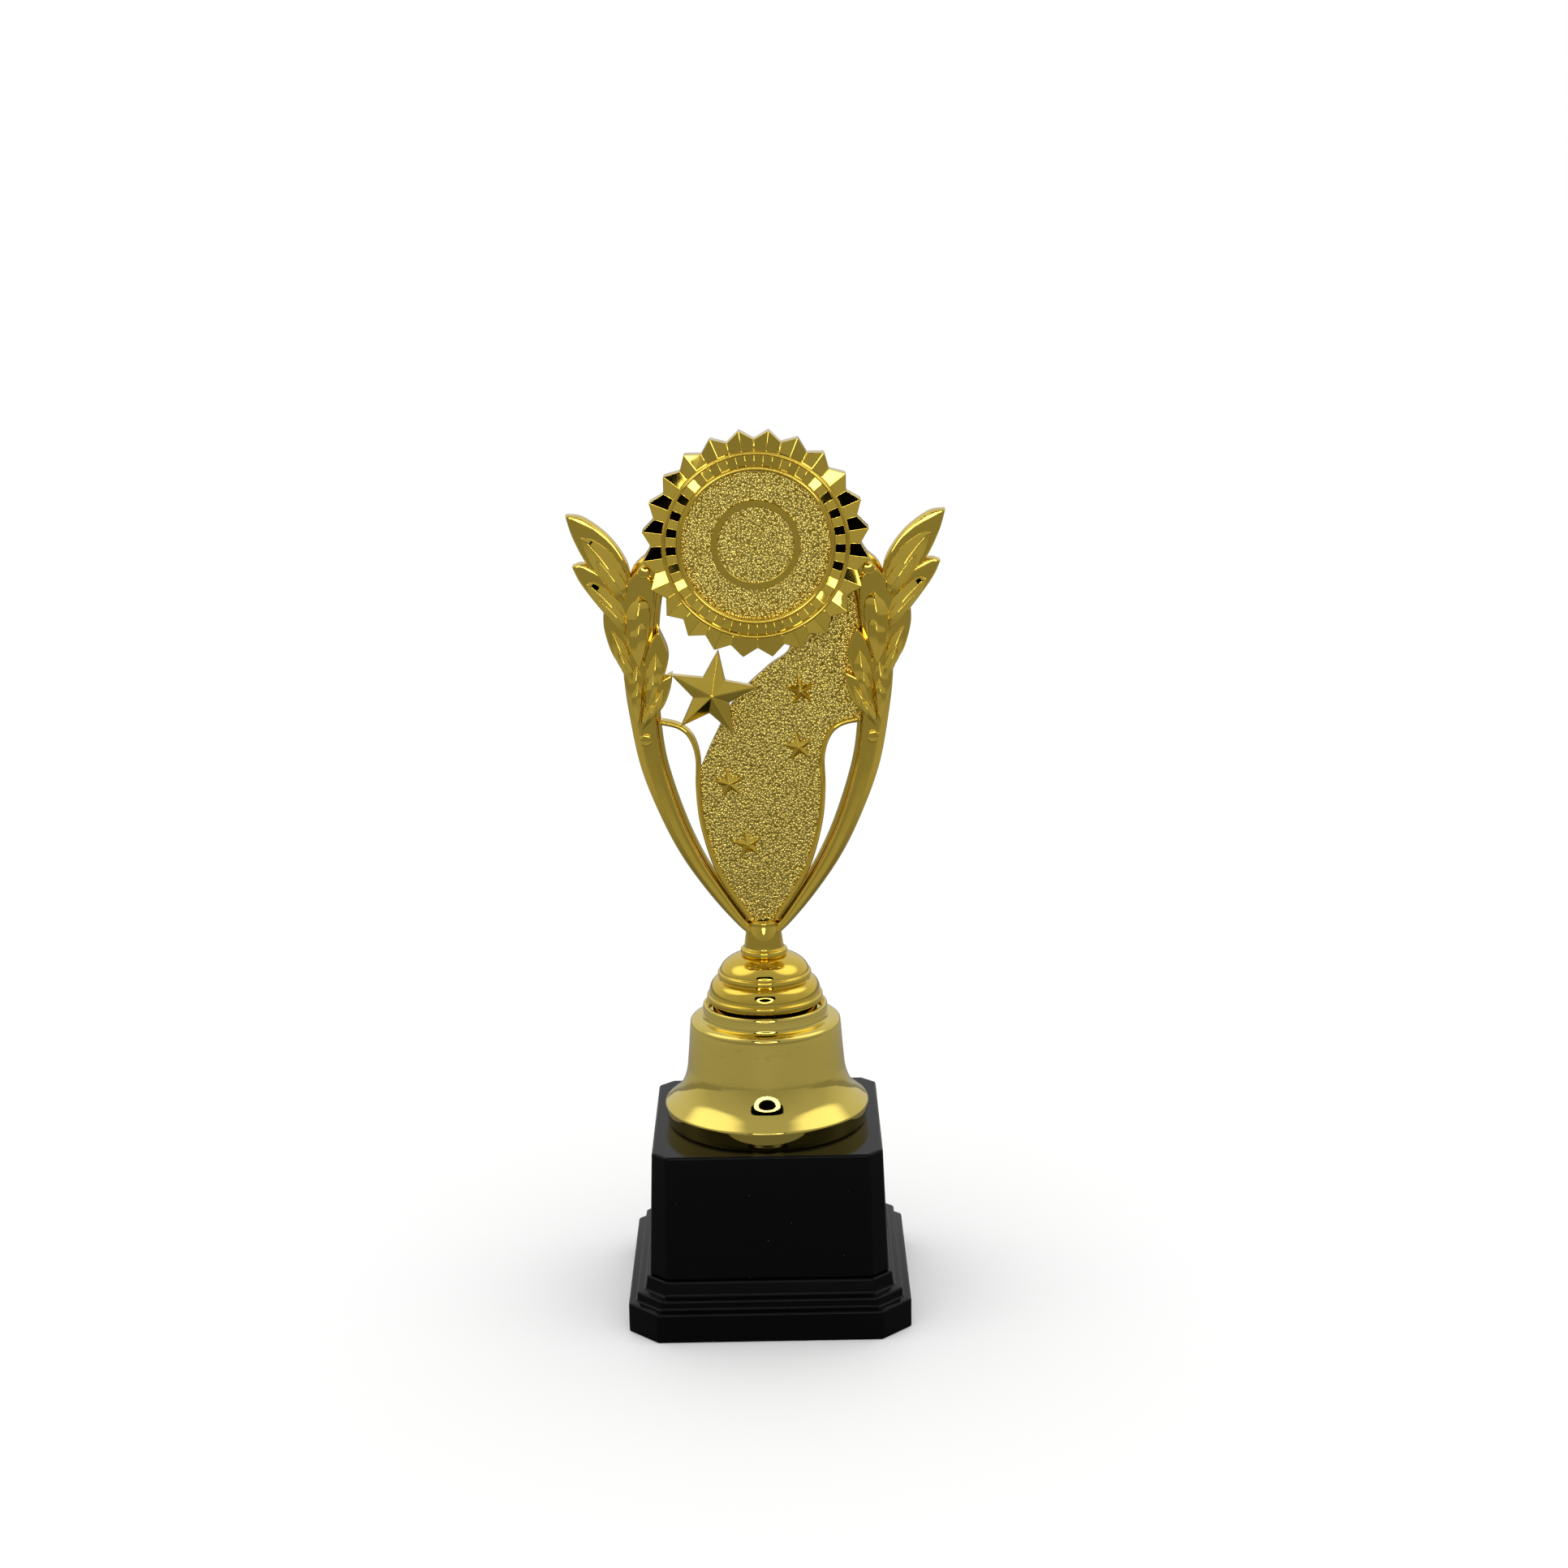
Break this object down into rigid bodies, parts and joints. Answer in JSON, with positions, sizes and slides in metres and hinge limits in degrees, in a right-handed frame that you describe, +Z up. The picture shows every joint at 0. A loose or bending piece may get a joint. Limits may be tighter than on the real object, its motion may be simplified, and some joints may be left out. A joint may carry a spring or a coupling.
{
  "type": "star trophy",
  "caption": "Free-standing award with a black plinth, a gold bell riser and a cup-shaped figure that holds a pleated rosette, laurel sprigs and stars.",
  "frame": {"origin": "centre of the plinth's underside, on the surface it stands on", "axes": "+Z up, -Y to the front where the rosette faces, +X to the viewer's right"},
  "size_m": [0.1042, 0.08, 0.2517],
  "materials": {
    "gold_plate": "bright gold vacuum-plated ABS, mirror gloss",
    "gold_satin": "gold-plated ABS, softer satin gloss",
    "gold_pebble": "gold-plated ABS over a fine pebbled mould texture",
    "black_plinth": "black ABS, semi-gloss",
    "zinc_steel": "zinc-plated",
    "brass_insert": "turned"
  },
  "bodies": {
    "root": {"plinth_skirt": "black_plinth", "plinth_block": "black_plinth", "ballast_plate": "zinc_steel", "rod_washer": "zinc_steel", "rod_nut": "zinc_steel", "tie_rod": "zinc_steel", "bell_riser": "gold_satin", "stepped_collar": "gold_plate", "figure_socket": "gold_plate", "socket_insert": "brass_insert", "relief_panel": "gold_pebble", "rosette_holder": "gold_plate", "rosette_disc": "gold_pebble", "large_star": "gold_plate", "left_handle": "gold_plate", "left_laurel": "gold_plate", "left_upper_peg": "gold_plate", "left_lower_peg": "gold_plate", "right_handle": "gold_plate", "right_laurel": "gold_plate", "right_upper_peg": "gold_plate", "right_lower_peg": "gold_plate"}
  },
  "joints": []
}
